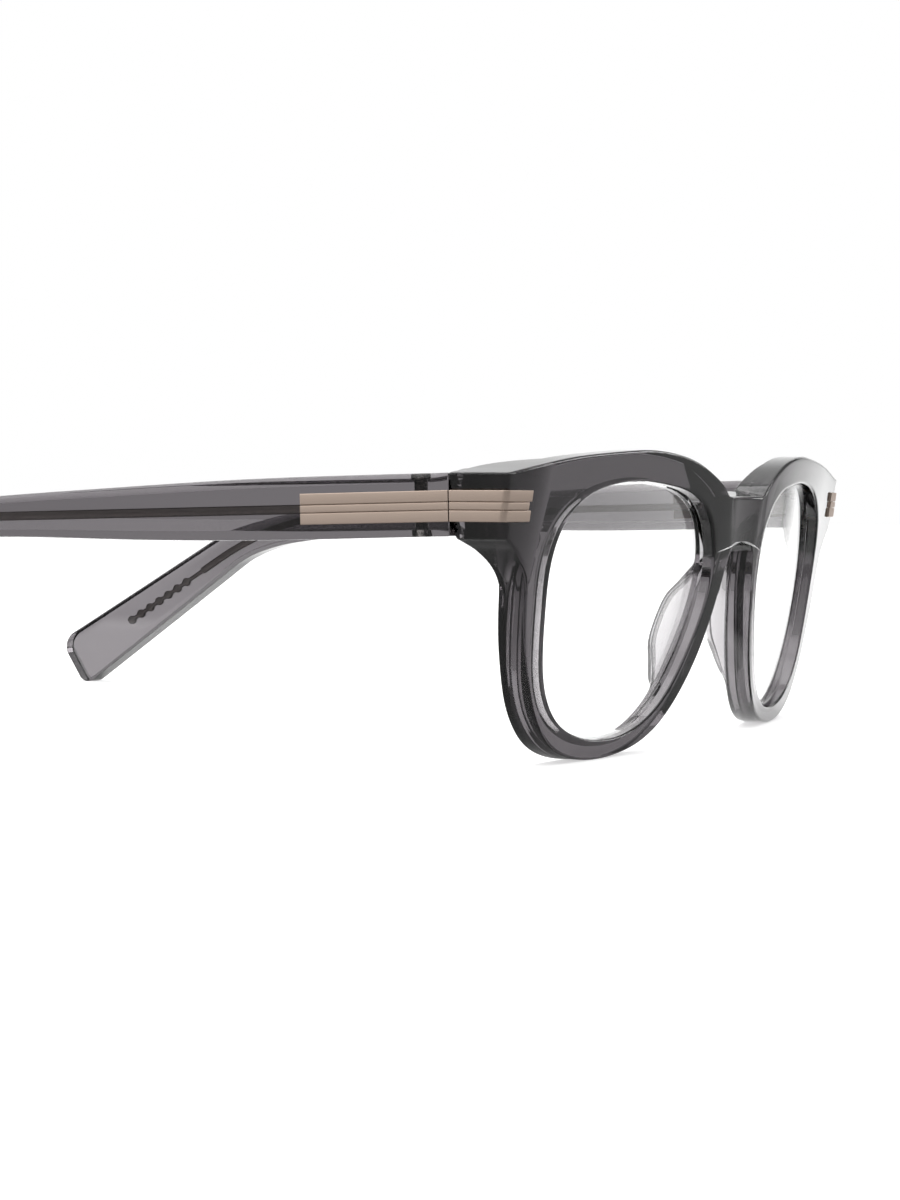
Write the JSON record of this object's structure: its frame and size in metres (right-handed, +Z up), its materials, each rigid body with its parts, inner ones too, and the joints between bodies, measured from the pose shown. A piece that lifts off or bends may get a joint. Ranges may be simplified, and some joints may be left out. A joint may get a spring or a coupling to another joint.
{
  "type": "eyeglasses",
  "caption": "Optical glasses in clear smoky-grey acetate, rounded square eyes, folding temples with inlaid three-bar metal trims over the hinges.",
  "frame": {"origin": "middle of the footprint, on the table plane that the rims and the temple tips rest on", "axes": "+X to the wearer's left, +Y back along the temples, +Z up"},
  "size_m": [0.1388, 0.1624, 0.0424],
  "materials": {
    "acetate": "polished transparent smoky-grey cellulose acetate",
    "lens": "clear demo lens, polished",
    "champagne_metal": "satin champagne plating",
    "wire": "drawn nickel silver",
    "steel": "turned steel, nickel plated"
  },
  "bodies": {
    "front": {"front_frame": "acetate", "lens_right": "lens", "nose_pad_right": "acetate", "front_trim_right": "champagne_metal", "front_trim_bar_right": "champagne_metal", "front_trim_pins_right": "champagne_metal", "hinge_leaf_right": "steel", "lens_left": "lens", "nose_pad_left": "acetate", "front_trim_left": "champagne_metal", "front_trim_bar_left": "champagne_metal", "front_trim_pins_left": "champagne_metal", "hinge_leaf_left": "steel"},
    "temple_right": {"temple_right": "acetate", "core_wire_right": "wire", "temple_trim_right": "champagne_metal", "temple_trim_bar_right": "champagne_metal", "temple_trim_pins_right": "champagne_metal", "hinge_screw_right": "steel", "hinge_nut_right": "steel", "hinge_washers_right": "steel"},
    "temple_left": {"temple_left": "acetate", "core_wire_left": "wire", "temple_trim_left": "champagne_metal", "temple_trim_bar_left": "champagne_metal", "temple_trim_pins_left": "champagne_metal", "hinge_screw_left": "steel", "hinge_nut_left": "steel", "hinge_washers_left": "steel"}
  },
  "joints": [
    {"name": "left_temple_fold", "type": "hinge", "parent": "front", "child": "temple_left", "pos_m": [0.06527, -0.06033, 0.03459], "axis": [0.0016, 0.0268, 0.9996], "range_deg": [0, 91]},
    {"name": "right_temple_fold", "type": "hinge", "parent": "front", "child": "temple_right", "pos_m": [-0.06527, -0.06033, 0.03459], "axis": [0.0016, -0.0268, -0.9996], "range_deg": [0, 80]}
  ]
}
